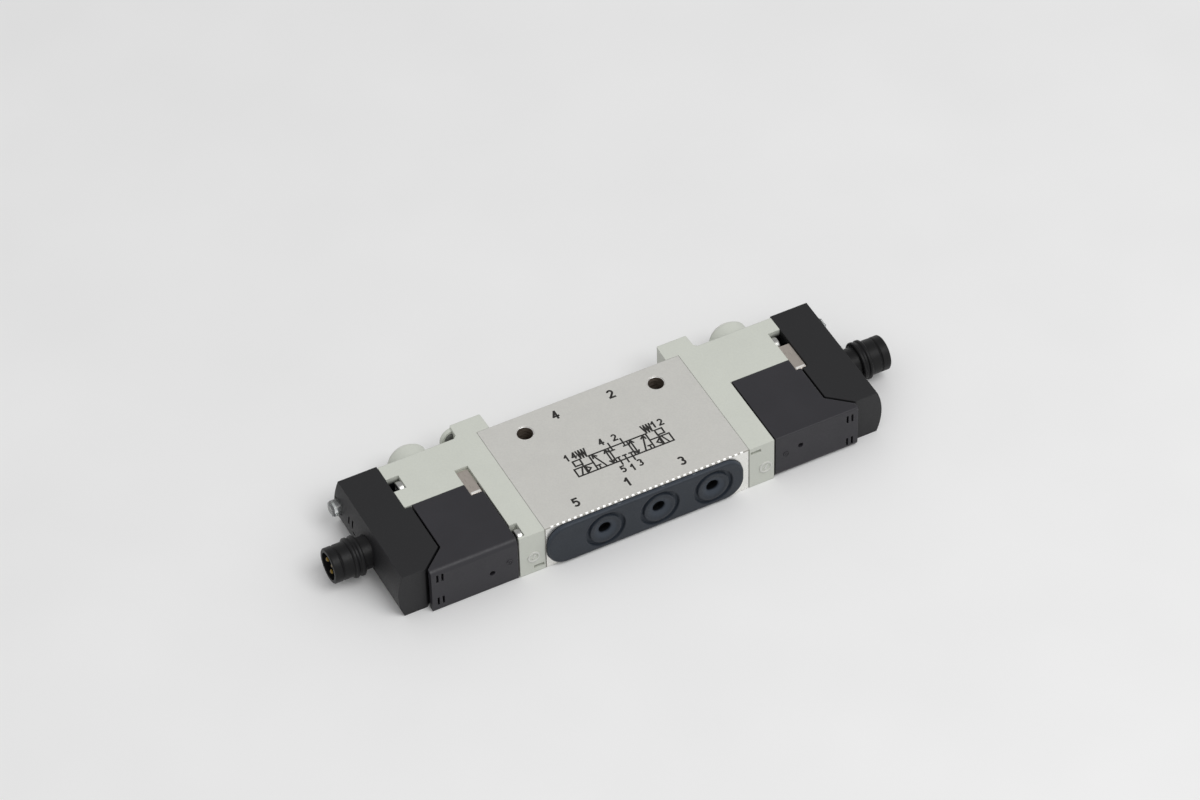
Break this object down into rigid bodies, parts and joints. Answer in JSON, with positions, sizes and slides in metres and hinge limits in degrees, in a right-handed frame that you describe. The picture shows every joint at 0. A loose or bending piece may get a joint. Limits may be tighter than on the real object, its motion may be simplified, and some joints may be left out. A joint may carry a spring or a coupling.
{
  "type": "pneumatic solenoid valve",
  "caption": "In-line spool valve in a flat aluminium block, with a pilot solenoid, a manual override and a round plug at each end.",
  "frame": {"origin": "centre of the valve body's lower broad face, midway between its end faces and its long edge faces", "axes": "+X along the valve from the label-side-up module to the other one, +Y across the broad face towards the outlet ports and the override buttons, +Z through the thickness away from the surface it lies on"},
  "size_m": [0.1142, 0.0337, 0.01],
  "materials": {
    "body_aluminium": "satin blasted and clear anodised",
    "gasket_rubber": "moulded, satin",
    "spool_aluminium": "turned and polished",
    "seal_rubber": "moulded",
    "piston_plastic": "moulded",
    "spring_steel": "drawn wire",
    "housing_plastic": "fine moulded texture",
    "screw_steel": "zinc plated",
    "button_plastic": "fine moulded texture",
    "solenoid_plastic": "fine moulded texture",
    "clip_steel": "stamped spring strip",
    "bobbin_plastic": "moulded",
    "copper_wire": "enamelled winding",
    "core_steel": "turned",
    "box_plastic": "fine moulded texture",
    "board_laminate": "solder mask",
    "light_pipe_plastic": "clear moulded plastic",
    "contact_brass": "gold plated",
    "plug_plastic": "moulded"
  },
  "bodies": {
    "valve": {"valve_body": "body_aluminium", "port_gasket": "gasket_rubber", "centring_spring_left": "spring_steel", "end_seal_left": "seal_rubber", "pilot_housing_left": "housing_plastic", "housing_screws_left": "screw_steel", "collar_screw_left": "screw_steel", "override_spring_left": "spring_steel", "interface_seal_left": "seal_rubber", "solenoid_case_left": "solenoid_plastic", "label_side_clip_left": "clip_steel", "back_side_clip_left": "clip_steel", "coil_bobbin_left": "bobbin_plastic", "coil_winding_left": "copper_wire", "fixed_core_left": "core_steel", "armature_spring_left": "spring_steel", "connection_box_left": "box_plastic", "circuit_board_left": "board_laminate", "light_pipe_left": "light_pipe_plastic", "terminal_pins_left": "contact_brass", "plug_shell_left": "plug_plastic", "plug_insert_left": "plug_plastic", "contact_pins_left": "contact_brass", "centring_spring_right": "spring_steel", "end_seal_right": "seal_rubber", "pilot_housing_right": "housing_plastic", "housing_screws_right": "screw_steel", "collar_screw_right": "screw_steel", "override_spring_right": "spring_steel", "interface_seal_right": "seal_rubber", "solenoid_case_right": "solenoid_plastic", "label_side_clip_right": "clip_steel", "back_side_clip_right": "clip_steel", "coil_bobbin_right": "bobbin_plastic", "coil_winding_right": "copper_wire", "fixed_core_right": "core_steel", "armature_spring_right": "spring_steel", "connection_box_right": "box_plastic", "circuit_board_right": "board_laminate", "light_pipe_right": "light_pipe_plastic", "terminal_pins_right": "contact_brass", "plug_shell_right": "plug_plastic", "plug_insert_right": "plug_plastic", "contact_pins_right": "contact_brass"},
    "spool": {"spool": "spool_aluminium", "spool_seals": "seal_rubber", "piston_left": "piston_plastic", "piston_ring_left": "seal_rubber", "piston_right": "piston_plastic", "piston_ring_right": "seal_rubber"},
    "override_left": {"override_button_left": "button_plastic", "override_seal_left": "seal_rubber"},
    "override_right": {"override_button_right": "button_plastic", "override_seal_right": "seal_rubber"},
    "armature_left": {"armature_left": "core_steel", "seat_disc_left": "seal_rubber"},
    "armature_right": {"armature_right": "core_steel", "seat_disc_right": "seal_rubber"}
  },
  "joints": [
    {"name": "spool_shift", "type": "slide", "parent": "valve", "child": "spool", "axis": [1, 0, 0], "range_m": [-0.0015, 0.0015], "stiffness_N_per_m": 1000, "deforming": ["centring_spring_left", "centring_spring_right"]},
    {"name": "override_press_left", "type": "slide", "parent": "valve", "child": "override_left", "axis": [0, -1, 0], "range_m": [0, 0.0012], "stiffness_N_per_m": 400, "springref_m": -0.001, "deforming": ["override_spring_left"]},
    {"name": "armature_pull_left", "type": "slide", "parent": "valve", "child": "armature_left", "axis": [0, -1, 0], "range_m": [0, 0.0004], "stiffness_N_per_m": 500, "springref_m": -0.0008, "deforming": ["armature_spring_left"]},
    {"name": "override_press_right", "type": "slide", "parent": "valve", "child": "override_right", "axis": [0, -1, 0], "range_m": [0, 0.0012], "stiffness_N_per_m": 400, "springref_m": -0.001, "deforming": ["override_spring_right"]},
    {"name": "armature_pull_right", "type": "slide", "parent": "valve", "child": "armature_right", "axis": [0, -1, 0], "range_m": [0, 0.0004], "stiffness_N_per_m": 500, "springref_m": -0.0008, "deforming": ["armature_spring_right"]}
  ]
}
